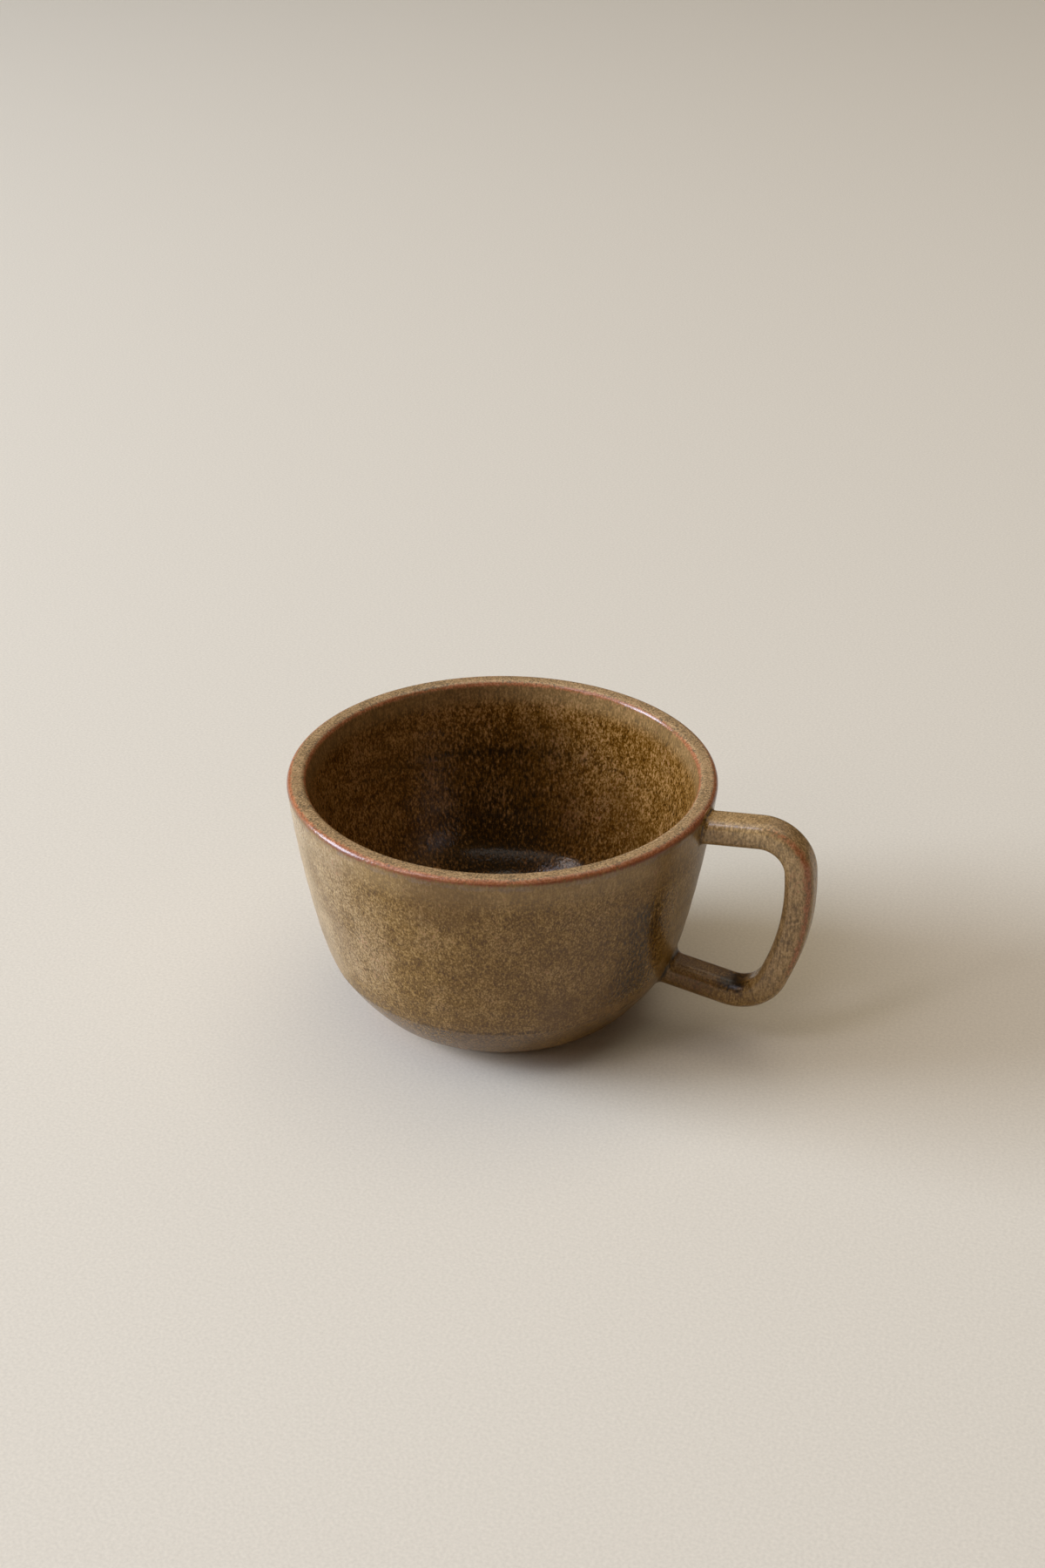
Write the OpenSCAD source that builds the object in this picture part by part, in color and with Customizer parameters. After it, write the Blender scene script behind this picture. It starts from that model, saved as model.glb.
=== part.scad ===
// A stoneware cappuccino cup: a thrown and turned clay body, a bent clay handle stuck on with slip,
// and the glaze coats that were melted over them. Millimetres, standing on the table at z = 0,
// with the axis of the cup on Z and the handle towards +X.

/* [Cup] */
// Outside diameter at the rim, over the glaze
rim_d = 100; // [92:1:112]
// Height from the table to the top of the glazed lip
cup_h = 61; // [56:1:70]
// Thickness of the clay wall at the lip
wall_t = 3.7; // [3:0.1:4.6]
// Radius that rounds both edges of the clay lip
lip_round = 1.1; // [0.6:0.1:1.4]
// Lean of the wall just under the lip, in degrees from upright
rim_lean = 6.3; // [4:0.1:9]
// Radius of the long and slightly convex curve of the wall
wall_curve = 300; // [220:10:500]
// Height at which the wall hands over to the belly
belly_h = 25; // [22:1:30]
// Radius of the curve of the belly
belly_curve = 65; // [50:1:90]

/* [Foot] */
// Height of the turning line, below which the clay was trimmed on the wheel
turning_line_h = 15; // [12:0.5:18]
// Lean of the turned band just under the turning line, in degrees from upright
band_lean = 31; // [27:1:36]
// Radius of the curve of the turned band
band_curve = 57; // [45:1:90]
// Height at which the glaze stops and the bare heel begins
heel_h = 4.7; // [3.5:0.1:7]
// Outside diameter of the resting face of the foot ring
foot_d = 52; // [46:1:56]
// Width of the resting face of the foot ring
foot_ring_w = 4; // [2.5:0.5:7]
// Depth of the recess inside the foot ring
recess_h = 1.8; // [0.8:0.1:2.6]

/* [Inside] */
// Height of the clay floor of the cup above the table
floor_h = 6.4; // [5:0.1:9]
// Radius between the clay wall and the clay floor
floor_round = 22.5; // [14:0.5:26]

/* [Handle] */
// Thickness of the handle in its own plane, over the glaze
handle_t = 6.9; // [5.5:0.1:8.5]
// Width of the handle across its plane, over the glaze
handle_w = 7.8; // [6:0.1:11]
// Radius that rounds the four edges of the handle, over the glaze
handle_edge_round = 2.6; // [1.6:0.1:2.7]
// Drop from the lip to the middle of the upper arm at the wall
upper_joint_drop = 4.8; // [4.6:0.1:8]
// Drop from the lip to the upper corner of the handle's middle line
upper_corner_drop = 2.4; // [1:0.1:6]
// Reach of the upper corner beyond the rim
upper_reach = 21.6; // [18:0.1:28]
// Reach of the lower corner beyond the rim
lower_reach = 14.8; // [11:0.1:24]
// Height of the lower corner above the table
lower_corner_h = 13.2; // [9:0.1:18]
// Height of the middle of the lower arm at the wall
lower_joint_h = 16.8; // [15:0.1:22]
// How far the middle of the leg bows out past a straight line between the corners
grip_bow = 5; // [2:0.1:7]
// Bend radius of the middle line at the upper corner
upper_bend = 8.9; // [6.5:0.1:11]
// Bend radius of the middle line at the lower corner
lower_bend = 10; // [7:0.1:12]
// Reach of the slip fillet that sticks each arm to the wall
seam_fillet = 1.2; // [0.8:0.1:1.6]

/* [Glaze] */
// Thickness of the glaze coats
glaze_t = 0.4; // [0.2:0.05:0.5]

/* [Hidden] */
$fn = 360;

// Steps of each curve in an outline, an even count
arc_steps = 6;
// Steps round each edge of the handle's section
edge_steps = 4;
// Steps along each bend of the handle
bend_steps = 8;

// Points on an arc about c, from angle a to angle b
function arc(c, r, a, b, steps = arc_steps) =
  [for (i = [0:steps]) let (t = a + (b - a) * i / steps) c + r * [cos(t), sin(t)]];

// A list without its last point, for the join to the next curve
function open_end(line) = [for (i = [0:len(line) - 2]) line[i]];

// Outer curves of the clay. An angle is the lean of the surface from upright.
clay_r = rim_d / 2 - glaze_t;
clay_h = cup_h - glaze_t;
lip_c = [clay_r - lip_round, clay_h - lip_round];
inner_lip_c = [clay_r - wall_t + lip_round, clay_h - lip_round];
wall_top = lip_c + lip_round * [cos(rim_lean), -sin(rim_lean)];
wall_c = wall_top - wall_curve * [cos(rim_lean), -sin(rim_lean)];
belly_lean = asin((wall_c.y - belly_h) / wall_curve);
belly_top = wall_c + wall_curve * [cos(belly_lean), -sin(belly_lean)];
belly_c = belly_top - belly_curve * [cos(belly_lean), -sin(belly_lean)];
turning_lean = asin((belly_c.y - turning_line_h) / belly_curve);
turning_line = belly_c + belly_curve * [cos(turning_lean), -sin(turning_lean)];
band_c = turning_line - band_curve * [cos(band_lean), -sin(band_lean)];
heel_lean = asin((band_c.y - heel_h) / band_curve);

// Inner curves of the clay, with the wall on the same centre as outside
inner_top = inner_lip_c + lip_round * [-cos(rim_lean), sin(rim_lean)];
inner_curve = norm(inner_top - wall_c);
inner_lean = asin((wall_c.y - inner_top.y) / inner_curve);
floor_c_y = floor_h + floor_round;
floor_c = [
  wall_c.x + sqrt(pow(inner_curve - floor_round, 2) - pow(wall_c.y - floor_c_y, 2)),
  floor_c_y,
];
floor_lean = asin((wall_c.y - floor_c_y) / (inner_curve - floor_round));

// The glazed side of the clay, from the heel up the outside, over the lip and down to the axis
clay_line = concat(
  open_end(arc(band_c, band_curve, -heel_lean, -band_lean)),
  open_end(arc(belly_c, belly_curve, -turning_lean, -belly_lean)),
  open_end(arc(wall_c, wall_curve, -belly_lean, -rim_lean)),
  arc(lip_c, lip_round, -rim_lean, 90),
  open_end(arc(inner_lip_c, lip_round, 90, 180 - rim_lean)),
  open_end(arc(wall_c, inner_curve, -inner_lean, -floor_lean)),
  arc(floor_c, floor_round, -floor_lean, -90),
  [[0, floor_h]]
);

// Places along that line where one coat of glaze meets the next
lip_top_i = 4 * arc_steps;
outer_edge_i = lip_top_i - arc_steps / 2;
inner_edge_i = lip_top_i + 1 + arc_steps / 2;
axis_i = len(clay_line) - 1;

// The same line moved out of the clay by t
function side_normal(p, q) = let (d = q - p) [d.y, -d.x] / norm(d);
function moved_point(line, i, t) =
  let (last = len(line) - 1)
  let (before = side_normal(line[max(i - 1, 0)], line[max(i, 1)]))
  let (after = side_normal(line[min(i, last - 1)], line[min(i + 1, last)]))
  line[i] + t * (before + after) / (1 + before * after);
glaze_line = [for (i = [0:axis_i]) moved_point(clay_line, i, glaze_t)];

// The bare underside, from the axis out to the heel
foot_r = foot_d / 2;
ring_r = foot_r - foot_ring_w;
underside = [[0, recess_h], [ring_r - recess_h, recess_h], [ring_r, 0], [foot_r, 0]];

// Lean and radius of the clay outside at a height, on the curve that it has there
function outside_curve(h) =
  h > belly_h ? [wall_c, wall_curve]
  : h > turning_line_h ? [belly_c, belly_curve]
  : [band_c, band_curve];
function outside_lean(h) = let (k = outside_curve(h)) asin((k[0].y - h) / k[1]);
function outside_r(h) = let (k = outside_curve(h)) k[0].x + k[1] * cos(outside_lean(h));

// Corners of the middle line of the handle, in its own plane: out from the axis, and up
rim_r = rim_d / 2;
upper_joint_h = cup_h - upper_joint_drop;
upper_joint = [outside_r(upper_joint_h), upper_joint_h];
lower_joint = [outside_r(lower_joint_h), lower_joint_h];
upper_corner = [rim_r + upper_reach, cup_h - upper_corner_drop];
lower_corner = [rim_r + lower_reach, lower_corner_h];
grip = (upper_corner + lower_corner) / 2 + [grip_bow, 0];

function unit(v) = v / norm(v);
// Angle that the line turns through at q, and how far each bend eats into its straights
function turn_at(p, q, s) = acos(unit(q - p) * unit(s - q));
function bend_reach(p, q, s, r) = r * tan(turn_at(p, q, s) / 2);

// The leg bends as much as its shorter half leaves room for
grip_room_share = 0.92;
upper_room = norm(grip - upper_corner) - bend_reach(upper_joint, upper_corner, grip, upper_bend);
lower_room = norm(grip - lower_corner) - bend_reach(grip, lower_corner, lower_joint, lower_bend);
grip_bend =
  grip_room_share * min(upper_room, lower_room) / tan(turn_at(upper_corner, grip, lower_corner) / 2);

// How far the ends of the arms run on into the wall, which trims them
arm_overrun = wall_t / 2;

// Half sizes and edge radius of the clay of the handle
half_t = handle_t / 2 - glaze_t;
half_w = handle_w / 2 - glaze_t;
edge_r = handle_edge_round - glaze_t;

// Outline of the handle's section with its clay grown by g, as places in its plane and across it
function section_outline(g) =
  let (r = edge_r + max(g, -edge_r / 2))
  [
    for (k = [0:3], i = [0:edge_steps])
      let (a = 90 * (k + i / edge_steps))
      let (sx = k == 0 || k == 3 ? 1 : -1)
      let (sy = k < 2 ? 1 : -1)
      [sx * (half_t - edge_r) + r * cos(a), sy * (half_w - edge_r) + r * sin(a)]
  ];

// Places along a clockwise bend of radius r round the corner q, each with its direction
function bend(p, q, s, r) =
  let (turn = turn_at(p, q, s))
  let (c = q + unit(unit(p - q) + unit(s - q)) * r / cos(turn / 2))
  let (arrive = q + unit(p - q) * r * tan(turn / 2) - c)
  [
    for (i = [0:bend_steps])
      let (a = atan2(arrive.y, arrive.x) - turn * i / bend_steps)
      [c + r * [cos(a), sin(a)], [sin(a), -cos(a)]]
  ];

// Middle line of the handle, with its ends run on into the wall by e
upper_way = unit(upper_corner - upper_joint);
lower_way = unit(lower_joint - lower_corner);
function handle_line(e) = concat(
  [[upper_joint - e * upper_way, upper_way]],
  bend(upper_joint, upper_corner, grip, upper_bend),
  bend(upper_corner, grip, lower_corner, grip_bend),
  bend(grip, lower_corner, lower_joint, lower_bend),
  [[lower_joint + e * lower_way, lower_way]]
);

// Sizes of a fillet in rings from the wall to the arm, as shares of its reach
fillet_out_shares = [1, 1, 0.42, 0.1, -0.3];
fillet_along_shares = [-0.5, 0, 0.1, 0.42, 1.1];

// A closed skin over rings with the same count of points
module skin(rings) {
  n = len(rings[0]);
  last = len(rings) - 1;
  polyhedron(
    points = [for (ring = rings, p = ring) p],
    faces = concat(
      [[for (i = [n - 1:-1:0]) i]],
      [[for (i = [0:n - 1]) last * n + i]],
      [
        for (k = [0:last - 1], i = [0:n - 1])
          let (j = (i + 1) % n)
          [k * n + i, k * n + j, (k + 1) * n + j, (k + 1) * n + i]
      ]
    )
  );
}

// The bar of the handle, standing in the XZ plane, with its clay grown by t
module handle_bar(t) {
  skin([
    for (place = handle_line(arm_overrun - t))
      let (left = [-place[1].y, place[1].x])
      [
        for (q = section_outline(t))
          let (p = place[0] + q.x * left)
          [p.x, q.y, p.y]
      ]
  ]);
}

// A hollow fillet round an arm that leaves the wall at joint in the direction along, grown by t
module fillet(joint, along, t) {
  up = [-along.y, along.x];
  lean = outside_lean(joint.y);
  wall_out = [cos(lean), -sin(lean)];
  slope = (up * wall_out) / (along * wall_out);
  skin([
    for (k = [0:len(fillet_out_shares) - 1])
      let (away = seam_fillet * fillet_along_shares[k] + t)
      [
        for (q = section_outline(seam_fillet * fillet_out_shares[k] + t))
          let (s = away - q.x * slope - q.y * q.y / (2 * joint.x))
          let (p = joint + s * along + q.x * up)
          [p.x, q.y, p.y]
      ]
  ]);
}

module upper_fillet(t) { fillet(upper_joint, upper_way, t); }
module lower_fillet(t) { fillet(lower_joint, -lower_way, t); }

// The outside of the cup as a filled solid, bounded by the clay or by the glaze
module filled_cup(line) {
  rotate_extrude()
    polygon(concat(
      [[0, line[0].y]],
      [for (i = [0:lip_top_i]) line[i]],
      [[0, line[lip_top_i].y]]
    ));
}

// A coat of glaze on the clay line between two of its places
module coat(from, to) {
  rotate_extrude()
    polygon(concat(
      [for (i = [from:to]) clay_line[i]],
      [for (i = [to:-1:from]) glaze_line[i]]
    ));
}

// Thrown and turned stoneware body with its bare foot
module clay_body() {
  color("#a8794f")
    rotate_extrude()
      polygon(concat(underside, clay_line));
}

// Bent stoneware handle, trimmed to the wall
module clay_handle() {
  color("#a8794f")
    difference() {
      handle_bar(0);
      filled_cup(clay_line);
    }
}

// Slip that fills the corner between the upper arm and the wall
module upper_slip_seam() {
  color("#9a6c45")
    difference() {
      upper_fillet(0);
      filled_cup(clay_line);
      handle_bar(0);
    }
}

// Slip that fills the corner between the lower arm and the wall
module lower_slip_seam() {
  color("#9a6c45")
    difference() {
      lower_fillet(0);
      filled_cup(clay_line);
      handle_bar(0);
    }
}

// Amber liner glaze, poured inside
module inside_glaze() {
  color("#6b4e20") coat(inner_edge_i, axis_i);
}

// Pale overlap of the coats on the lip
module rim_glaze() {
  color("#9c8b70") coat(outer_edge_i, inner_edge_i);
}

// Olive-brown coat outside, open where the arms meet the wall
module outside_glaze() {
  color("#7d6b4c")
    difference() {
      coat(0, outer_edge_i);
      handle_bar(0);
      upper_fillet(0);
      lower_fillet(0);
    }
}

// The same coat round the handle
module handle_glaze() {
  color("#857253")
    difference() {
      handle_bar(glaze_t);
      handle_bar(0);
      filled_cup(glaze_line);
      upper_fillet(0);
      lower_fillet(0);
    }
}

// Glaze pooled over the slip at the upper arm
module upper_joint_glaze() {
  color("#5a4a2e")
    difference() {
      upper_fillet(glaze_t);
      upper_fillet(0);
      filled_cup(glaze_line);
      handle_bar(glaze_t);
    }
}

// Glaze pooled over the slip at the lower arm
module lower_joint_glaze() {
  color("#5a4a2e")
    difference() {
      lower_fillet(glaze_t);
      lower_fillet(0);
      filled_cup(glaze_line);
      handle_bar(glaze_t);
    }
}

clay_body();
clay_handle();
upper_slip_seam();
lower_slip_seam();
inside_glaze();
rim_glaze();
outside_glaze();
handle_glaze();
upper_joint_glaze();
lower_joint_glaze();
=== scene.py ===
"""A cappuccino cup of thrown stoneware under a reactive glaze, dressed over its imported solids.

Sizes are in millimetres and angles in degrees, as in the part's source, until a mesh is made in metres.
The axis of the cup is Z, the table is z = 0 and the handle reaches towards +X.
"""

import math

import bpy
import numpy as np
from mathutils import Matrix, Vector


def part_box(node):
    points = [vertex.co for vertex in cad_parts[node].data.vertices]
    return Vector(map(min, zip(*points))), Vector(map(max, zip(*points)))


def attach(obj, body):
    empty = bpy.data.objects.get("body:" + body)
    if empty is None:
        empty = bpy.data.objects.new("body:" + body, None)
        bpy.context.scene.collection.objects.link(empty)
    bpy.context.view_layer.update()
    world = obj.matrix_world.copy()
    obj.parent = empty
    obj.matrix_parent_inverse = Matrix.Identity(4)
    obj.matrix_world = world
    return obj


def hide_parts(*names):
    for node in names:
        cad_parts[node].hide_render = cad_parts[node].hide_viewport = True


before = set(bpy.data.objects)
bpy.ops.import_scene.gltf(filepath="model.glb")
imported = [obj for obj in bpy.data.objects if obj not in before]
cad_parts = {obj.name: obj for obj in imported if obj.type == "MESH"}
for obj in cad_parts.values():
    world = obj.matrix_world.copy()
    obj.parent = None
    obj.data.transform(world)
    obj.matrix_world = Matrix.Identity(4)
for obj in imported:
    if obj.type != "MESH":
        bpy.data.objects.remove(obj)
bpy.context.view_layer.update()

MM = 0.001

# The cup, with the same sizes as its solids
RIM_R = -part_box("outside_glaze")[0].x / MM
CUP_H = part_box("rim_glaze")[1].z / MM
GLAZE_T = 0.4
WALL_T = 3.7
LIP_ROUND = 1.1
RIM_LEAN = 6.3
WALL_CURVE = 300
BELLY_H = 25
BELLY_CURVE = 65
TURNING_LINE_H = 15
BAND_LEAN = 31
BAND_CURVE = 57
HEEL_H = 4.7
FOOT_R = 26
FOOT_RING_W = 4
RECESS_H = 1.8
FLOOR_H = 6.4
FLOOR_ROUND = 22.5

# The handle. It is a touch thinner than its solid, so that its finer bends stay in the solid's box.
HANDLE_T = 6.78
HANDLE_W = 7.8
HANDLE_EDGE_ROUND = 2.6
UPPER_JOINT_DROP = 4.8
UPPER_CORNER_DROP = 2.4
UPPER_REACH = 21.6
LOWER_REACH = 14.8
LOWER_CORNER_H = 13.2
LOWER_JOINT_H = 16.8
GRIP_BOW = 5
GRIP_BEND = 57.7
UPPER_BEND = 8.9
LOWER_BEND = 10

# How finely the curves are drawn
SEGMENTS = 360
WALL_STEP = 0.6
LIP_STEP = 0.1
HEEL_STEP = 0.06
TURNING_STEP = 0.03
HANDLE_STEP = 0.6
EDGE_STEPS = 10
FLAT_STEPS = 4
POOL_STEPS = 8
SHARP_ANGLE = 50


def unit(v):
    """A vector of length 1 in the same direction."""
    return v / np.linalg.norm(v)


def way(angle):
    """The direction at an angle, out from the axis and up."""
    return np.array((math.cos(math.radians(angle)), math.sin(math.radians(angle))))


def soft_step(low, high, value):
    """Rises smoothly from 0 at low to 1 at high, or falls where low is the greater."""
    share = np.clip((np.asarray(value, float) - low) / (high - low), 0, 1)
    return share * share * (3 - 2 * share)


def bell(value, half_width):
    """A soft bump of height 1 round zero."""
    return np.exp(-((np.asarray(value, float) / half_width) ** 2))


def curve(centre, radius, start, end, step, side=1):
    """Rows along an arc of the clay: place and the way out of the clay, which side -1 turns to its centre."""
    length = math.radians(abs(end - start)) * (radius + GLAZE_T)
    angles = np.linspace(start, end, math.ceil(length / step) + 1)
    ways = np.array([way(a) for a in angles])
    return np.hstack((centre + radius * ways, side * ways))


def joined(*curves):
    """Curves end to end, without the row that two of them share."""
    rows = curves[0]
    for c in curves[1:]:
        rows = np.vstack((rows, c[1:] if np.allclose(rows[-1], c[0]) else c))
    return rows


def straight(start, end, step):
    """Rows along a straight stretch, without its end: place and direction."""
    count = max(1, math.ceil(np.linalg.norm(end - start) / step))
    shares = np.linspace(0, 1, count, endpoint=False)
    return [(*(start + share * (end - start)), *unit(end - start)) for share in shares]


def bent_line(corners, bends, step):
    """Rows along a line whose inner corners are bent to those radii: place and direction."""
    corners = [np.array(c, float) for c in corners]
    rows = []
    start = corners[0]
    for before, corner, after, radius in zip(corners, corners[1:], corners[2:], bends):
        come, go = unit(corner - before), unit(after - corner)
        turn = math.acos(come @ go) * math.copysign(1, come[0] * go[1] - come[1] * go[0])
        reach = come * radius * abs(math.tan(turn / 2))
        rows += straight(start, corner - reach, step)
        for a in np.linspace(0, turn, math.ceil(abs(turn) * radius / step) + 1):
            c, s = math.cos(a), math.sin(a)
            on = np.array((come[0] * c - come[1] * s, come[0] * s + come[1] * c))
            left = np.array((-on[1], on[0])) - np.array((-come[1], come[0]))
            rows.append((*(corner - reach - math.copysign(radius, turn) * left), *on))
        start = corner + go * radius * abs(math.tan(turn / 2))
        rows.pop()
    end = corners[-1]
    return np.array(rows + straight(start, end, step) + [(*end, *unit(end - start))])


# Outer curves of the clay, from the heel up to the lip
clay_r = RIM_R - GLAZE_T
clay_h = CUP_H - GLAZE_T
lip_c = np.array((clay_r - LIP_ROUND, clay_h - LIP_ROUND))
inner_lip_c = np.array((clay_r - WALL_T + LIP_ROUND, clay_h - LIP_ROUND))
wall_c = lip_c - (WALL_CURVE - LIP_ROUND) * way(-RIM_LEAN)
belly_lean = math.degrees(math.asin((wall_c[1] - BELLY_H) / WALL_CURVE))
belly_c = wall_c + (WALL_CURVE - BELLY_CURVE) * way(-belly_lean)
turning_lean = math.degrees(math.asin((belly_c[1] - TURNING_LINE_H) / BELLY_CURVE))
turning_line = belly_c + BELLY_CURVE * way(-turning_lean)
band_c = turning_line - BAND_CURVE * way(-BAND_LEAN)
heel_lean = math.degrees(math.asin((band_c[1] - HEEL_H) / BAND_CURVE))

# Inner curves of the clay, from the lip down to the axis
inner_top = inner_lip_c + LIP_ROUND * way(180 - RIM_LEAN)
inner_curve = np.linalg.norm(inner_top - wall_c)
inner_lean = math.degrees(math.asin((wall_c[1] - inner_top[1]) / inner_curve))
floor_c_h = FLOOR_H + FLOOR_ROUND
floor_lean = math.degrees(math.asin((wall_c[1] - floor_c_h) / (inner_curve - FLOOR_ROUND)))
floor_c = wall_c + (inner_curve - FLOOR_ROUND) * way(-floor_lean)

# The glaze ends at the heel in a rounded edge, and its coats meet half way round each edge of the lip
GLAZE_EDGE = 0.6
edge_lean = heel_lean - math.degrees(GLAZE_EDGE / BAND_CURVE)
outer_meet = (90 - RIM_LEAN) / 2
inner_meet = (270 - RIM_LEAN) / 2

under_lip_curves = (
    curve(band_c, BAND_CURVE, -heel_lean, -edge_lean, HEEL_STEP),
    curve(band_c, BAND_CURVE, -edge_lean, -BAND_LEAN, WALL_STEP),
    curve(turning_line, 0, -BAND_LEAN, -turning_lean, TURNING_STEP),
    curve(belly_c, BELLY_CURVE, -turning_lean, -belly_lean, WALL_STEP),
    curve(wall_c, WALL_CURVE, -belly_lean, -RIM_LEAN, WALL_STEP),
)
outside_curves = (*under_lip_curves, curve(lip_c, LIP_ROUND, -RIM_LEAN, outer_meet, LIP_STEP))
rim_curves = (
    curve(lip_c, LIP_ROUND, outer_meet, 90, LIP_STEP),
    curve(inner_lip_c, LIP_ROUND, 90, inner_meet, LIP_STEP),
)
inner_lip_curve = curve(inner_lip_c, LIP_ROUND, inner_meet, 180 - RIM_LEAN, LIP_STEP)
floor_edge = np.array((floor_c[0], FLOOR_H))
floor_rows = np.array(straight(floor_edge, np.array((0, FLOOR_H)), WALL_STEP) + [(0, FLOOR_H, -1, 0)])
floor_rows[:, 2:] = way(90)
inside_curves = (
    curve(wall_c, inner_curve, -inner_lean, -floor_lean, WALL_STEP, -1),
    curve(floor_c, FLOOR_ROUND, -floor_lean, -90, WALL_STEP, -1),
    floor_rows,
)
outline = joined(*outside_curves, *rim_curves, inner_lip_curve, *inside_curves)

# Rows of the outline at the turning line and the ends of the lip, and where one coat meets the next
turning_row = len(joined(*under_lip_curves[:2])) - 1
lip_start = len(joined(*under_lip_curves)) - 1
outer_edge = len(joined(*outside_curves)) - 1
inner_edge = len(joined(*outside_curves, *rim_curves)) - 1
lip_end = inner_edge + len(inner_lip_curve) - 1

# Way travelled over the glaze from the heel to each row
full_coat = outline[:, :2] + GLAZE_T * outline[:, 2:]
travel = np.append(0, np.cumsum(np.linalg.norm(np.diff(full_coat, axis=0), axis=1)))

# Throwing rings: a shallow spiral left by the fingers, stronger inside and none on the lip or the turned band
RING_PITCH = 6.5
OUTSIDE_RINGS = 0.025
INSIDE_RINGS = 0.03
below_lip = CUP_H - outline[:, 1]
inside_row = np.arange(len(outline)) > lip_end
ring_size = soft_step(2, 14, below_lip) * np.where(
    inside_row,
    INSIDE_RINGS * soft_step(2, 10, outline[:, 0]),
    OUTSIDE_RINGS * soft_step(TURNING_LINE_H, TURNING_LINE_H + 4, outline[:, 1]),
)

# The wiped edge of the glaze wanders a little round the heel, in waves that repeat so often. Its rounding
# starts a little way in, so that the coat has some thickness at its very end.
HEEL_WANDER = 0.28
HEEL_WANDER_REACH = 4
HEEL_WAVES = (2, 3, 5, 8)
EDGE_END = 0.02

segment_angles = np.linspace(0, 2 * np.pi, SEGMENTS, endpoint=False)


def turned(radius, height):
    """Rings round the axis from rows of radius and height."""
    radius, height = np.broadcast_arrays(radius, height, np.zeros(SEGMENTS))[:2]
    return np.stack((radius * np.cos(segment_angles), radius * np.sin(segment_angles), height), -1)


def coat_rings():
    """Rings of the glazed surface for every row of the outline."""
    edge = np.clip(travel / GLAZE_EDGE, EDGE_END, 1)
    thick = GLAZE_T * np.sqrt(1 - (1 - edge) ** 2)
    rings = ring_size[:, None] * np.sin(2 * np.pi * travel[:, None] / RING_PITCH + segment_angles)
    lift = thick[:, None] + rings
    wander = sum(np.sin(k * segment_angles + k * k) / k for k in HEEL_WAVES) * HEEL_WANDER
    slide = wander * soft_step(HEEL_WANDER_REACH, 0, travel)[:, None]
    out, up = outline[:, 2:3], outline[:, 3:4]
    return turned(outline[:, :1] + out * lift - up * slide, outline[:, 1:2] + up * lift + out * slide)


glaze_rings = coat_rings()
clay_rings = turned(outline[:, :1], outline[:, 1:2])
HIDDEN_STEP = 5


def clay_side(first, last):
    """Rings of the hidden clay side of a coat, from one row of the outline back to another."""
    numbers = [first, *range(first - HIDDEN_STEP, last, -HIDDEN_STEP), last]
    return clay_rings[numbers]


# The bare underside, from the axis out over the foot ring to the heel
UNDERSIDE_ROUNDS = (0.8, 0.6, 0.9)
UNDERSIDE_STEP = 0.25
TOOL_PITCH = 1.7
TOOL_MARKS = 0.05
ring_r = FOOT_R - FOOT_RING_W
underside = bent_line(
    ((0, RECESS_H), (ring_r - RECESS_H, RECESS_H), (ring_r, 0), (FOOT_R, 0), outline[0, :2]),
    UNDERSIDE_ROUNDS,
    UNDERSIDE_STEP,
)


def underside_rings():
    """Rings of the underside, with the spiral that the turning tool left in the recess."""
    radius, height = underside[:, :1], underside[:, 1:2]
    size = TOOL_MARKS * soft_step(0.5, 2, radius) * soft_step(ring_r - 2.4, ring_r - 3.4, radius)
    return turned(radius, height + size * np.sin(2 * np.pi * radius / TOOL_PITCH - segment_angles))


def outside_gap(place):
    """Distance of a place from the glazed outside of the wall, and the way out of the wall there."""
    radius = math.hypot(place[0], place[1])
    apart = np.array((radius, place[2])) - fine_coat[:, :2]
    nearest = np.argmin((apart**2).sum(1))
    out, up = fine_coat[nearest, 2:]
    return apart[nearest] @ (out, up), np.array((out * place[0] / radius, out * place[1] / radius, up))


# How far in mm the wall is looked for, and how often that stretch is halved
WALL_SEARCH = 20
HALVINGS = 40


def reach_wall(start, towards, gap):
    """The place on a line towards the wall at which its distance from the wall is gap."""
    near, far = 0, WALL_SEARCH
    for _ in range(HALVINGS):
        middle = (near + far) / 2
        if outside_gap(start + middle * towards)[0] > gap:
            near = middle
        else:
            far = middle
    return start + near * towards


FINE_STEP = 0.04
fine_coat = joined(
    curve(band_c, BAND_CURVE + GLAZE_T, -heel_lean, -BAND_LEAN, FINE_STEP),
    curve(turning_line, GLAZE_T, -BAND_LEAN, -turning_lean, FINE_STEP),
    curve(belly_c, BELLY_CURVE + GLAZE_T, -turning_lean, -belly_lean, FINE_STEP),
    curve(wall_c, WALL_CURVE + GLAZE_T, -belly_lean, -RIM_LEAN, FINE_STEP),
    curve(lip_c, LIP_ROUND + GLAZE_T, -RIM_LEAN, 90, FINE_STEP),
)

# Corners of the middle line of the handle, in its own plane: out from the axis, and up
upper_joint_h = CUP_H - UPPER_JOINT_DROP
clay_outside = outline[: lip_start + 1]
upper_joint = np.array((np.interp(upper_joint_h, clay_outside[:, 1], clay_outside[:, 0]), upper_joint_h))
lower_joint = np.array((np.interp(LOWER_JOINT_H, clay_outside[:, 1], clay_outside[:, 0]), LOWER_JOINT_H))
upper_corner = np.array((RIM_R + UPPER_REACH, CUP_H - UPPER_CORNER_DROP))
lower_corner = np.array((RIM_R + LOWER_REACH, LOWER_CORNER_H))
grip = (upper_corner + lower_corner) / 2 + (GRIP_BOW, 0)

# The last stretch of each arm runs straight into the wall
ARM_ROOT = 6
upper_root = upper_joint + ARM_ROOT * unit(upper_corner - upper_joint)
lower_root = lower_joint + ARM_ROOT * unit(lower_corner - lower_joint)
middle_line = bent_line(
    (upper_root, upper_corner, grip, lower_corner, lower_root),
    (UPPER_BEND, GRIP_BEND, LOWER_BEND),
    HANDLE_STEP,
)


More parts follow.
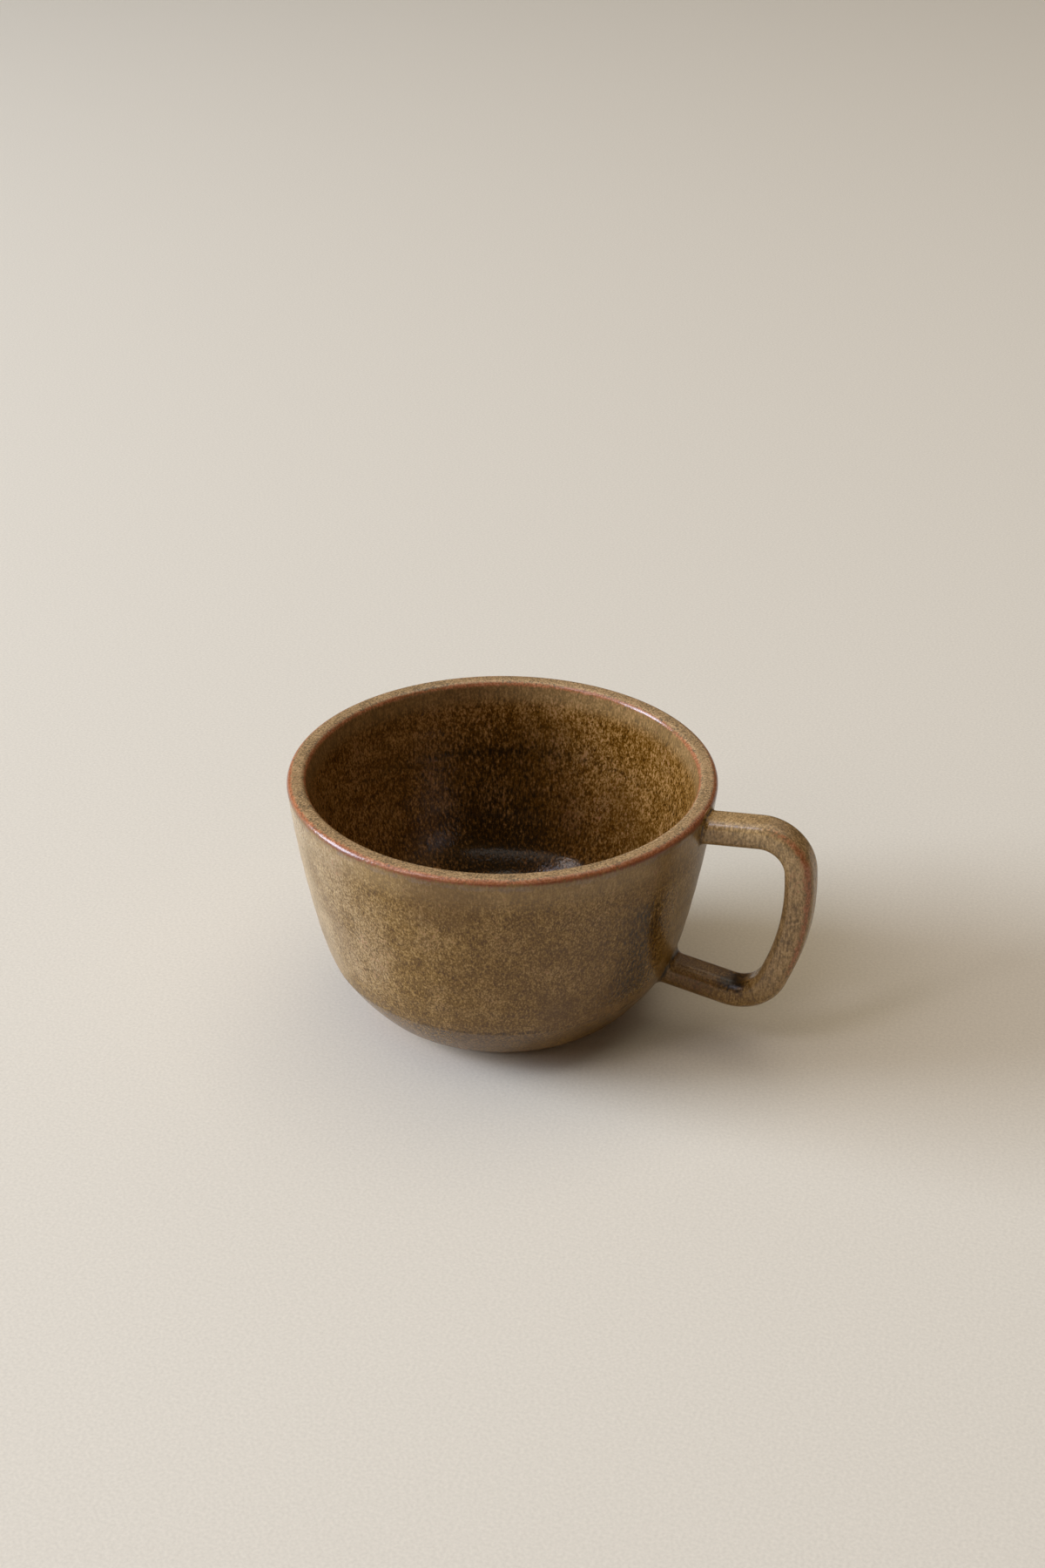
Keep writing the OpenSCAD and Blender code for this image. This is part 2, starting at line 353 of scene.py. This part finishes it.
def handle_section(shrink):
    """Rows round the handle's section: place in its plane and across it, and the way out there."""
    round_r = HANDLE_EDGE_ROUND - shrink
    half_t = HANDLE_T / 2 - HANDLE_EDGE_ROUND
    half_w = HANDLE_W / 2 - HANDLE_EDGE_ROUND
    corners = ((1, 1), (-1, 1), (-1, -1), (1, -1))
    rows = []
    for k, (a, b) in enumerate(corners):
        centre = np.array((a * half_t, b * half_w))
        for angle in np.linspace(90 * k, 90 * k + 90, EDGE_STEPS + 1):
            rows.append((*(centre + round_r * way(angle)), *way(angle)))
        end = np.array(rows[-1])
        a, b = corners[(k + 1) % 4]
        begin = np.array((*(np.array((a * half_t, b * half_w)) + round_r * end[2:]), *end[2:]))
        for share in np.linspace(0, 1, FLAT_STEPS + 1)[1:-1]:
            rows.append(end + share * (begin - end))
    return np.array(rows)


def in_space(row, section):
    """Places of a section, and the ways out of it, at a row of the handle's middle line."""
    left = np.array((-row[3], row[2]))
    flat = row[:2] + section[:, :1] * left
    ways = section[:, 2:3] * left
    return np.column_stack((flat[:, 0], section[:, 1], flat[:, 1])), np.column_stack(
        (ways[:, 0], section[:, 3], ways[:, 1])
    )


def upright(flat):
    """A direction in the plane of the handle as one in space."""
    return np.array((flat[0], 0, flat[1]))


to_upper_wall = upright(unit(upper_joint - upper_corner))
to_lower_wall = upright(unit(lower_joint - lower_corner))
SUNK = 0.06
ROOT_STEPS = 10


def handle_tube(shrink):
    """Rings along the handle from wall to wall, with the section shrunk by a thickness."""
    rings = np.array([in_space(row, handle_section(shrink))[0] for row in middle_line])
    at_upper = np.array([reach_wall(p, to_upper_wall, -SUNK) for p in rings[0]])
    at_lower = np.array([reach_wall(p, to_lower_wall, -SUNK) for p in rings[-1]])
    shares = np.linspace(0, 1, ROOT_STEPS, endpoint=False)[:, None, None]
    upper = at_upper + shares * (rings[0] - at_upper)
    lower = at_lower + shares * (rings[-1] - at_lower)
    return np.vstack((upper, rings, lower[::-1]))


def pool_rings(row, towards, radius):
    """Rings of the glaze pooled in the corner between an arm and the wall, as a ball would leave it."""
    profiles = []
    for base, off_arm in zip(*in_space(row, handle_section(0))):
        centre = reach_wall(base + radius * off_arm, towards, radius)
        off_wall = outside_gap(centre)[1]
        between = math.acos(np.clip(off_arm @ off_wall, -1, 1))
        turns = np.linspace(0, between, POOL_STEPS + 1)[:, None]
        bend = (off_arm * np.sin(between - turns) + off_wall * np.sin(turns)) / math.sin(between)
        corner = centre - (radius + SUNK) * (off_arm + off_wall) / (1 + off_arm @ off_wall)
        profiles.append(np.vstack((centre - radius * bend, corner)))
    return np.array(profiles).transpose(1, 0, 2)


def skin(rings, **masks):
    """Points, faces and masks of a closed skin over a loop of rings. A ring of no size becomes one point."""
    count = rings.shape[1]
    kept, numbers = [], []
    for k, ring in enumerate(rings):
        size = 1 if np.ptp(ring, axis=0).max() < MM else count
        numbers.append([len(kept) + i % size for i in range(count)])
        kept.extend(range(k * count, k * count + size))
    faces = []
    for this, following in zip(numbers, numbers[1:] + numbers[:1]):
        for i in range(count):
            j = (i + 1) % count
            face = tuple(dict.fromkeys((this[i], this[j], following[j], following[i])))
            if len(face) > 2:
                faces.append(face)
    points = rings.reshape(-1, 3)[kept]
    corners = points[[face[:3] for face in faces]]
    volume = np.einsum("ij,ij->", corners[:, 0], np.cross(corners[:, 1], corners[:, 2]))
    if volume < 0:
        faces = [face[::-1] for face in faces]
    spread = {name: np.broadcast_to(mask, rings.shape[:2]).reshape(-1)[kept] for name, mask in masks.items()}
    return points, faces, spread


def new_object(name, data):
    """An object in the scene."""
    thing = bpy.data.objects.new(name, data)
    bpy.context.scene.collection.objects.link(thing)
    return thing


def make_piece(name, skinned, material, node):
    """A piece of the cup in metres, which stands for a solid of the frame."""
    points, faces, masks = skinned
    mesh = bpy.data.meshes.new(name)
    mesh.from_pydata((points * MM).tolist(), [], faces)
    for mask, values in masks.items():
        mesh.attributes.new(mask, "FLOAT", "POINT").data.foreach_set("value", values.astype(np.float32))
    mesh.shade_smooth()
    mesh.set_sharp_from_angle(angle=math.radians(SHARP_ANGLE))
    mesh.materials.append(material)
    piece = new_object(name, mesh)
    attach(piece, "root")
    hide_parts(node)


def colour(code):
    """The linear colour of an sRGB hex value."""
    shares = [int(code[i : i + 2], 16) / 255 for i in (1, 3, 5)]
    return (*(s / 12.92 if s <= 0.04045 else ((s + 0.055) / 1.055) ** 2.4 for s in shares), 1)


def add(tree, kind, inputs=None, stops=None, **settings):
    """Adds a node with its settings, and sets or links its inputs. A linked node gives its first output."""
    node = tree.nodes.new("ShaderNode" + kind)
    for name, value in settings.items():
        setattr(node, name, value)
    for place, value in (inputs or {}).items():
        named = [s for s in node.inputs if s.name == place and s.enabled]
        socket = named[0] if named else node.inputs[place]
        if isinstance(value, bpy.types.Node):
            value = next(s for s in value.outputs if s.enabled)
        if isinstance(value, bpy.types.NodeSocket):
            tree.links.new(value, socket)
        else:
            socket.default_value = value
    for k, (position, code) in enumerate(stops or ()):
        elements = node.color_ramp.elements
        element = elements[k] if k < 2 else elements.new(position)
        element.position = position
        element.color = colour(code)
    return node


def new_material(name):
    """A material with an empty node tree, and that tree."""
    material = bpy.data.materials.new(name)
    material.use_nodes = True
    material.node_tree.nodes.clear()
    return material, material.node_tree


# Width and height in millimetres of one speck of each pattern in the glaze
GLAZE_PATTERNS = {
    "grain": (0.37, 0.56),
    "specks": (0.68, 1.15),
    "streaks": (0.5, 2.4),
    "clouds": (2.6, 4),
    "drift": (9, 13),
    "patch": (26, 34),
}

# How much each pattern changes the tone of the glaze outside, inside and where it breaks thin
OUTSIDE_TONE = {"grain": 1.5, "specks": 0.9, "clouds": 0.4, "drift": 0.3}
INSIDE_TONE = {"grain": 1.5, "specks": 1.3, "clouds": 0.6, "drift": 0.4}
COPPER_TONE = {"grain": 1.5, "specks": 1.0}

# How much each pattern breaks up the thin glaze and the rust on it, and swells its surface, and the share of
# the specks that is left where the glaze is calm
THIN_PATTERNS = {"specks": 1.4, "grain": 1.0, "drift": 0.8}
RUST_PATTERNS = {"specks": 2.2, "grain": 1.0, "drift": 1.2}
SWELL_PATTERNS = {"specks": 1, "clouds": 0.5}
CALM_SPECKS = 0.9

# Colours of the glaze along a tone, from the dark ground to the light specks
WALL_COLOURS = ((0.1, "#4a2d04"), (0.4, "#6b4b13"), (0.6, "#87662f"), (0.9, "#b08e54"))
INSIDE_COLOURS = ((0.05, "#331e04"), (0.4, "#664110"), (0.6, "#896330"), (0.95, "#b98d58"))
# Colours of the painted sheen: paler glaze where the window lamp lights the outside wall
PAINTED_SHEEN_COLOURS = ((0.15, "#816a49"), (0.5, "#af9774"), (0.85, "#cab491"))
LIP_COLOURS = ((0.2, "#685842"), (0.5, "#9b7e58"), (0.8, "#bfa076"))
COPPER_COLOURS = ((0.15, "#6e3d28"), (0.5, "#965a36"), (0.85, "#bb8560"))
# Colours of pooled glaze, also used for painted shade
POOL_AND_SHADE_COLOURS = ((0.3, "#4a2f0c"), (0.7, "#2c1d0a"), (1, "#15100a"))

# What lies over the glaze of the wall, from the bottom up: the mask that places it, if it has a place, the
# patterns that break it up, how and over which range of its depth it comes in, its greatest share, and its
# colour. A layer of several colours also has the tone that they follow.
GLAZE_LAYERS = (
    ("inside", {}, "LINEAR", (0, 1), 1, INSIDE_COLOURS, "inside"),
    ("calm", {}, "SMOOTHSTEP", (0, 1), 0.45, "#a0845a", None),
    # Painted sheen: the outside wall is painted paler on the side lit by the window lamp
    ("pale", {"grain": 0.8, "drift": 0.8}, "SMOOTHSTEP", (0, 1), 0.75, PAINTED_SHEEN_COLOURS, "outside"),
    (None, {"patch": 1}, "SMOOTHSTEP", (0.02, 0.2), 0.45, "#5c3c10", None),
    ("lip", {}, "LINEAR", (0, 1), 1, LIP_COLOURS, "outside"),
    ("thin", THIN_PATTERNS, "SMOOTHSTEP", (0.2, 0.9), 1, COPPER_COLOURS, "copper"),
    ("rust", RUST_PATTERNS, "SMOOTHSTEP", (0.2, 1.2), 0.75, "#6b3826", None),
    ("haze", {"clouds": 1.8, "grain": 1.5}, "SMOOTHSTEP", (0.5, 1.4), 0.4, "#6a6164", None),
    # Pooled glaze, which also carries painted shade: inside with depth, in a throwing ring, on the far inside
    # wall, and on the turned band and the wall above it
    ("pool_and_shade", {"specks": -0.7, "streaks": -0.9}, "SMOOTHSTEP", (0.1, 0.75), 1, POOL_AND_SHADE_COLOURS, "depth"),
)

# Roughness of the glaze on the wall, where it is calm, where it is smooth and inside, and its relief in mm
WALL_ROUGHNESS = 0.34
CALM_ROUGHNESS = 0.22
SMOOTH_ROUGHNESS = 0.15
INSIDE_ROUGHNESS = 0.14
GLAZE_RELIEF = 0.05
GLAZE_IOR = 1.45


def reactive_glaze():
    """Semi-gloss reduction-fired glaze. Iron and rutile part in the melt as it runs down, which leaves tan
    specks on brown, calmer khaki below the lip, amber where it lies thick and rust where it breaks thin. The
    dark colours of the thick glaze also paint shade inside and low on the wall, and a paler layer paints a
    sheen."""
    material, tree = new_material("reactive_stoneware_glaze")
    place = add(tree, "TexCoord").outputs["Object"]
    mask = {name: add(tree, "Attribute", attribute_name=name).outputs["Fac"] for name in GLAZE_MASKS}
    pattern = {}
    for name, (wide, high) in GLAZE_PATTERNS.items():
        scale = (1 / (wide * MM), 1 / (wide * MM), 1 / (high * MM))
        spread = add(tree, "Mapping", {"Vector": place, "Scale": scale})
        noise = add(tree, "TexNoise", {"Vector": spread, "Scale": 1, "Detail": 2, "Roughness": 0.55})
        pattern[name] = add(tree, "Math", {0: noise, 1: 0.5}, operation="SUBTRACT")

    def with_patterns(start, weights):
        """A start with patterns added to it, each by its weight."""
        for name, weight in weights.items():
            start = add(tree, "Math", {0: pattern[name], 1: weight, 2: start}, operation="MULTIPLY_ADD")
        return start

    # Below the lip the specks are weaker and are drawn out into streaks
    calm = add(tree, "MapRange", {"Value": mask["calm"], "To Min": 1, "To Max": CALM_SPECKS})
    streaks = add(tree, "Math", {0: pattern["streaks"], 1: mask["calm"], 2: 0.5}, operation="MULTIPLY_ADD")
    tone = {"copper": with_patterns(0.5, COPPER_TONE)}
    for name, weights in (("outside", OUTSIDE_TONE), ("inside", INSIDE_TONE)):
        specks = with_patterns(0, weights)
        tone[name] = add(tree, "Math", {0: specks, 1: calm, 2: streaks}, operation="MULTIPLY_ADD")

    body = add(tree, "ValToRGB", {"Fac": tone["outside"]}, WALL_COLOURS)
    for name, weights, ease, (low, high), top, colours, follows in GLAZE_LAYERS:
        depth = with_patterns(mask.get(name, 0), weights)
        tone["depth"] = depth
        ends = {"Value": depth, "From Min": low, "From Max": high, "To Max": top}
        share = add(tree, "MapRange", ends, interpolation_type=ease)
        layer = add(tree, "ValToRGB", {"Fac": tone[follows]}, colours) if follows else colour(colours)
        body = add(tree, "Mix", {"Factor": share, "A": body, "B": layer}, data_type="RGBA")

    ends = {"Value": mask["calm"], "To Min": WALL_ROUGHNESS, "To Max": CALM_ROUGHNESS}
    rough = add(tree, "MapRange", ends)
    rough = add(tree, "Mix", {"Factor": mask["gloss"], "A": rough, "B": SMOOTH_ROUGHNESS})
    rough = add(tree, "Mix", {"Factor": mask["inside"], "A": rough, "B": INSIDE_ROUGHNESS})
    swell = with_patterns(0, SWELL_PATTERNS)
    bump = add(tree, "Bump", {"Height": swell, "Distance": GLAZE_RELIEF * MM, "Strength": 1})
    finish = {"Base Color": body, "Roughness": rough, "Normal": bump, "IOR": GLAZE_IOR}
    add(tree, "OutputMaterial", {"Surface": add(tree, "BsdfPrincipled", finish)})
    return material


# Bare clay: the size of its grog and of the clouds in its colour, the heights between which it is toasted, and
# its relief, all in mm. The slip has a grit of its own size.
GROG = 0.5
CLAY_CLOUDS = 9
TOAST_FROM = 1.5
TOAST_TO = 4
CLAY_RELIEF = 0.08
CLAY_ROUGHNESS = 0.85
CLAY_IOR = 1.5
SLIP_GRIT = 0.8
SLIP_ROUGHNESS = 0.8
CLAY_COLOURS = ((0.3, "#8f7352"), (0.5, "#ad8f6b"), (0.75, "#c4a985"))
TOASTED = "#9a6038"
SLIP_COLOURS = ((0.3, "#94663f"), (0.7, "#b3855a"))


def bare_stoneware():
    """Iron-bearing stoneware clay fired bare: buff and dry, with fine grog, toasted orange by the glaze."""
    material, tree = new_material("bare_stoneware_clay")
    place = add(tree, "TexCoord").outputs["Object"]
    height = add(tree, "SeparateXYZ", {"Vector": place}).outputs["Z"]
    grog = add(tree, "TexNoise", {"Vector": place, "Scale": 1 / (GROG * MM), "Detail": 3})
    cloud = add(tree, "TexNoise", {"Vector": place, "Scale": 1 / (CLAY_CLOUDS * MM), "Detail": 2})
    buff = add(tree, "ValToRGB", {"Fac": grog}, CLAY_COLOURS)
    toast = add(tree, "MapRange", {"Value": height, "From Min": TOAST_FROM * MM, "From Max": TOAST_TO * MM})
    toast = add(tree, "Math", {0: toast, 1: cloud}, operation="MULTIPLY")
    body = add(tree, "Mix", {"Factor": toast, "A": buff, "B": colour(TOASTED)}, data_type="RGBA")
    bump = add(tree, "Bump", {"Height": grog, "Distance": CLAY_RELIEF * MM, "Strength": 1})
    finish = {"Base Color": body, "Roughness": CLAY_ROUGHNESS, "Normal": bump, "IOR": CLAY_IOR}
    add(tree, "OutputMaterial", {"Surface": add(tree, "BsdfPrincipled", finish)})
    return material


def fired_slip():
    """Clay slip, fired: the same body as the clay, a shade redder and smoother where it was wiped."""
    material, tree = new_material("fired_clay_slip")
    place = add(tree, "TexCoord").outputs["Object"]
    grit = add(tree, "TexNoise", {"Vector": place, "Scale": 1 / (SLIP_GRIT * MM), "Detail": 2})
    body = add(tree, "ValToRGB", {"Fac": grit}, SLIP_COLOURS)
    finish = {"Base Color": body, "Roughness": SLIP_ROUGHNESS, "IOR": CLAY_IOR}
    add(tree, "OutputMaterial", {"Surface": add(tree, "BsdfPrincipled", finish)})
    return material


# Where each look of the glaze lies, by the way in mm from the turning line and from each edge of the lip. It
# is calm by the lip, breaks thin, rusty and hazy over the lip's edges, is thin at its own edge by the heel,
# and pools over the turning line. Inside it darkens with depth, where the glaze lies thicker and painted shade
# is added for the hollow. Painted shade also draws one throwing ring there and darkens the turned band and the
# wall just above it.
GLAZE_MASKS = ("inside", "lip", "calm", "pale", "thin", "rust", "haze", "pool_and_shade", "gloss")
past_outer = travel - travel[lip_start]
past_inner = travel - travel[lip_end]
past_turning = travel - travel[turning_row]
row_masks = {
    "inside": soft_step(-0.9, -0.1, past_inner),
    "lip": soft_step(0.6, 1.6, past_outer) * soft_step(-0.5, -1.2, past_inner),
    "calm": np.where(past_inner > 0, soft_step(7, 0.5, past_inner), soft_step(-9.5, -1, past_outer)),
    "thin": bell(past_outer - 1.3, 0.85)
    + 0.85 * bell(past_inner + 0.75, 0.65)
    + 0.7 * soft_step(1.4, 0.3, travel),
    "rust": bell(past_outer - 0.6, 0.55),
    "haze": bell(past_outer + 0.4, 0.9),
    # Pooled glaze over the turning line; painted shade inside with depth, in a line for one throwing ring, on
    # the  band and on the lower wall
    "pool_and_shade": 0.18 * soft_step(3, 22, past_inner)
    + 0.2 * soft_step(22, 46, past_inner)
    + 0.15 * bell(past_inner - 17, 1.2)
    + 0.35 * bell(past_turning - 0.5, 0.55)
    + 0.22 * soft_step(0.3, -0.6, past_turning)
    + 0.1 * soft_step(15, 0, past_turning),
    "gloss": soft_step(0.6, -0.3, past_turning),
    # The painted sheen, up the outside wall from the turning line to the lip
    "pale": soft_step(-4, 14, past_turning) * soft_step(0.4, -1.5, past_outer),
}

# Thicker glaze on part of the way round in runs down the outside, and painted shade inside below the lip
run_rows = 0.5 * soft_step(1, 8, past_turning) * soft_step(-5, -16, past_outer)
far_shade_rows = 0.36 * soft_step(0, 13, past_inner)


def round_cup(angle, width):
    """A soft bump of height 1 round the cup at an angle from the handle."""
    turn = np.angle(np.exp(1j * (segment_angles - math.radians(angle))))
    return bell(np.degrees(turn), width)


# Glaze runs thicker down the wall at both sides of the handle and more on one. Painted shade darkens the
# far side inside, and on the side lit by the window lamp a painted sheen makes the outside paler and the glaze
# is smoother there.
beside_handle = round_cup(-26, 13) + 0.5 * round_cup(31, 17)
shaded_far_side = round_cup(114, 32)
# The side that the window lamp lights, which gets the painted sheen
lit_side = round_cup(206, 42)

# Glaze pools at the joints, with the radius that a ball rolled round each arm would have
UPPER_POOL_R = 1.2
LOWER_POOL_R = 1.9
upper_pool = pool_rings(middle_line[0], to_upper_wall, UPPER_POOL_R)
lower_pool = pool_rings(middle_line[-1], to_lower_wall, LOWER_POOL_R)


def glaze_skin(rings, masks):
    """A closed skin with every mask of the glaze, from those that are not zero everywhere."""
    return skin(rings, **{name: masks.get(name, 0) for name in GLAZE_MASKS})


def coat(first, last):
    """A closed coat of glaze between two rows of the outline."""
    rings = np.vstack((glaze_rings[first : last + 1], clay_side(last, first)))
    rows = np.minimum(np.arange(len(rings)) + first, last)
    masks = {name: values[rows, None] for name, values in row_masks.items()}
    run = run_rows[rows, None] * beside_handle
    # Runs of thicker glaze outside, and painted shade on the far side inside
    masks["pool_and_shade"] = masks["pool_and_shade"] + run + far_shade_rows[rows, None] * shaded_far_side
    masks["gloss"] = masks["gloss"] * (0.3 + 0.7 * lit_side) + 2 * run
    # The painted sheen lies only on the lit side
    masks["pale"] = masks["pale"] * lit_side
    return glaze_skin(rings, masks)


def handle_coat():
    """A closed coat of glaze round the handle: smooth and pale on the upper arm, thin on the outer edges,
    rusty on the lower arm, thick on the sides of the grip, and dark in one side of the lower inner corner."""
    outer, inner = handle_tube(0), handle_tube(GLAZE_T)
    section = handle_section(0)
    out, side, across = section[:, 2], section[:, 3], np.abs(section[:, 3])
    # Along counts from 0 at the upper joint to 1 at the lower one
    along = np.linspace(0, 1, len(outer))[:, None]
    edge = (np.clip(out, 0, 1) * across * 2) ** 3
    grip = bell(along - 0.48, 0.17)
    # A dark patch in one side of the lower inner corner
    corner = np.clip(-0.9 * out - 0.44 * side, 0, 1) ** 2 * bell(along - 0.795, 0.07)
    masks = {
        "thin": 0.75 * edge * soft_step(0.14, 0.22, along) * soft_step(0.72, 0.52, along),
        "rust": 0.8 * across**2 * bell(along - 0.91, 0.06),
        "pool_and_shade": 0.2 * across**4 * grip + 0.85 * corner,
        "calm": 0.3 + 0.7 * soft_step(0.78, 0.66, along) + 0 * out,
        "lip": 0.5 * soft_step(0.76, 0.62, along) + 0 * out,
        "gloss": 0.8 * soft_step(0.26, 0.12, along) + 0 * out,
    }
    rings = np.vstack((outer, inner[::-1]))
    hidden = 0 * inner[..., 0]
    return glaze_skin(rings, {name: np.vstack((shares, hidden)) for name, shares in masks.items()})


def joint_pool(rings):
    """A closed body of glaze pooled in the corner of a joint, deepest half way from the arm to the wall."""
    deep = np.sin(np.pi * np.arange(len(rings)) / POOL_STEPS).clip(0) ** 2
    return glaze_skin(rings, {"pool_and_shade": 0.6 * deep[:, None]})


# The clay under the glaze is hidden, so only each third ring of its walls and each second of its lip is drawn
CLAY_WALL_STEP = 3
CLAY_LIP_STEP = 2


def clay_body(last):
    """A closed skin round the clay, from the axis below to the last row of the outline."""
    outer_wall = clay_rings[:lip_start:CLAY_WALL_STEP]
    lip = clay_rings[lip_start:inner_edge:CLAY_LIP_STEP]
    inner_wall = clay_rings[inner_edge:last:CLAY_WALL_STEP]
    return skin(np.vstack((underside_rings()[:-1], outer_wall, lip, inner_wall, clay_rings[last:])))


def build_cup():
    """Every piece of the cup, each in the place of its solid."""
    glaze, clay, slip = reactive_glaze(), bare_stoneware(), fired_slip()
    last = len(outline) - 1
    make_piece("stoneware_body", clay_body(last), clay, "clay_body")
    make_piece("outside_coat", coat(0, outer_edge), glaze, "outside_glaze")
    make_piece("rim_coat", coat(outer_edge, inner_edge), glaze, "rim_glaze")
    make_piece("inside_coat", coat(inner_edge, last), glaze, "inside_glaze")
    make_piece("handle_coat", handle_coat(), glaze, "handle_glaze")
    for name, rings in (("upper_joint", upper_pool), ("lower_joint", lower_pool)):
        make_piece(name + "_pool", joint_pool(rings), glaze, name + "_glaze")
    for node, material in (("clay_handle", clay), ("upper_slip_seam", slip), ("lower_slip_seam", slip)):
        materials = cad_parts[node].data.materials
        materials.clear()
        materials.append(material)


# The camera, round the cup from its front and over the horizon
CAMERA_AZIMUTH = 21
CAMERA_ELEVATION = 29.03
CAMERA_DISTANCE = 567.9
CAMERA_AIM = (4.34, 1.67, 57.28)
CAMERA_ROLL = 0.226
CAMERA_LENS = 56


def from_camera(azimuth, elevation):
    """A direction from the cup, with azimuth counted from the camera's side to the right."""
    a, e = math.radians(CAMERA_AZIMUTH + azimuth), math.radians(elevation)
    return Vector((math.sin(a) * math.cos(e), -math.cos(a) * math.cos(e), math.sin(e)))


def look(thing, towards, target, distance, roll=0):
    """Puts a camera or lamp at a distance from a target, looking at it."""
    thing.location = target + towards * distance
    turn = (-towards).to_track_quat("-Z", "Y").to_matrix().to_4x4()
    thing.rotation_euler = (turn @ Matrix.Rotation(math.radians(roll), 4, "Z")).to_euler()


def set_camera():
    """A camera at the photograph's angle."""
    data = bpy.data.cameras.new("camera")
    data.lens = CAMERA_LENS
    data.clip_end = 100
    camera = new_object("camera", data)
    look(camera, from_camera(0, CAMERA_ELEVATION), Vector(CAMERA_AIM) * MM, CAMERA_DISTANCE * MM, CAMERA_ROLL)
    bpy.context.scene.camera = camera


# Softboxes: direction from the cup, distance, width and height in metres, power and colour
LAMPS = {
    "window": (-92, 20, 2.5, 1.2, 1.2, 90, "#dceaff"),
    "softbox": (-80, 50, 2.5, 1.6, 1.6, 15, "#f0f2ff"),
    "strip": (-54, 30, 2.5, 0.25, 0.8, 4, "#fff6f4"),
    "skylight": (-51, 50, 2.5, 0.5, 0.6, 6, "#f2eeff"),
    "ceiling": (120, 87, 2.5, 2.4, 2.4, 25, "#fff3e0"),
    "bounce": (140, 50, 2.5, 2.0, 2.0, 6.5, "#fff0de"),
    "far_window": (-8, 37, 2.5, 3.0, 0.26, 2.4, "#fbf0e4"),
}
CUP_MIDDLE = Vector((0, 0, 0.03))
BACKDROP = "#cfc8ba"
FILL_TINT = "#ffe0b8"
FILL_LEVEL = 0.06


def set_lights():
    """Soft studio light, mostly from a cool window on the left, with a warm fill from above and behind."""
    for name, (azimuth, elevation, distance, width, height, power, tint) in LAMPS.items():
        data = bpy.data.lights.new(name, "AREA")
        data.shape = "RECTANGLE"
        data.size = width
        data.size_y = height
        data.energy = power
        data.color = colour(tint)[:3]
        look(new_object(name, data), from_camera(azimuth, elevation), CUP_MIDDLE, distance)
    world = bpy.data.worlds.new("studio")
    bpy.context.scene.world = world
    world.use_nodes = True
    tree = world.node_tree
    tree.nodes.clear()
    seen = add(tree, "LightPath").outputs["Is Camera Ray"]
    fill = add(tree, "Background", {"Color": colour(FILL_TINT), "Strength": FILL_LEVEL})
    backdrop = add(tree, "Background", {"Color": colour(BACKDROP), "Strength": 1})
    mixed = add(tree, "MixShader", {0: seen, 1: fill, 2: backdrop})
    add(tree, "OutputWorld", {"Surface": mixed})


# The studio floor in metres: its side, and the round patch past which it is seen to fade into the backdrop.
# Its tooth is in mm.
STUDIO_SIDE = 16
PATCH_BEHIND_CUP = 0.45
PATCH_R = 0.85
FADE_WIDTH = 0.3
STUDIO_TOOTH = 0.7
STUDIO_ROUGHNESS = 0.8
STUDIO_COLOURS = ((0.3, "#d1cabb"), (0.7, "#dcd5c6"))


def set_floor():
    """A plain pale floor that reaches past every view and fades into the backdrop."""
    half = STUDIO_SIDE / 2
    corners = [(-half, -half, 0), (half, -half, 0), (half, half, 0), (-half, half, 0)]
    mesh = bpy.data.meshes.new("floor")
    mesh.from_pydata(corners, [], [(0, 1, 2, 3)])
    material, tree = new_material("pale_studio_floor")
    place = add(tree, "TexCoord").outputs["Object"]
    tooth = add(tree, "TexNoise", {"Vector": place, "Scale": 1 / (STUDIO_TOOTH * MM), "Detail": 3})
    body = add(tree, "ValToRGB", {"Fac": tooth}, STUDIO_COLOURS)
    near = add(tree, "BsdfPrincipled", {"Base Color": body, "Roughness": STUDIO_ROUGHNESS})
    far = add(tree, "Emission", {"Color": colour(BACKDROP), "Strength": 1})
    patch = from_camera(180, 0) * PATCH_BEHIND_CUP
    apart = add(tree, "VectorMath", {0: place, 1: patch}, operation="DISTANCE").outputs["Value"]
    fade = add(tree, "MapRange", {"Value": apart, "From Min": PATCH_R, "From Max": PATCH_R + FADE_WIDTH})
    seen = add(tree, "LightPath").outputs["Is Camera Ray"]
    share = add(tree, "Math", {0: fade, 1: seen}, operation="MULTIPLY")
    add(tree, "OutputMaterial", {"Surface": add(tree, "MixShader", {0: share, 1: near, 2: far})})
    mesh.materials.append(material)
    new_object("floor", mesh)


bpy.context.scene.view_settings.view_transform = "Standard"
set_camera()
set_lights()
set_floor()
build_cup()
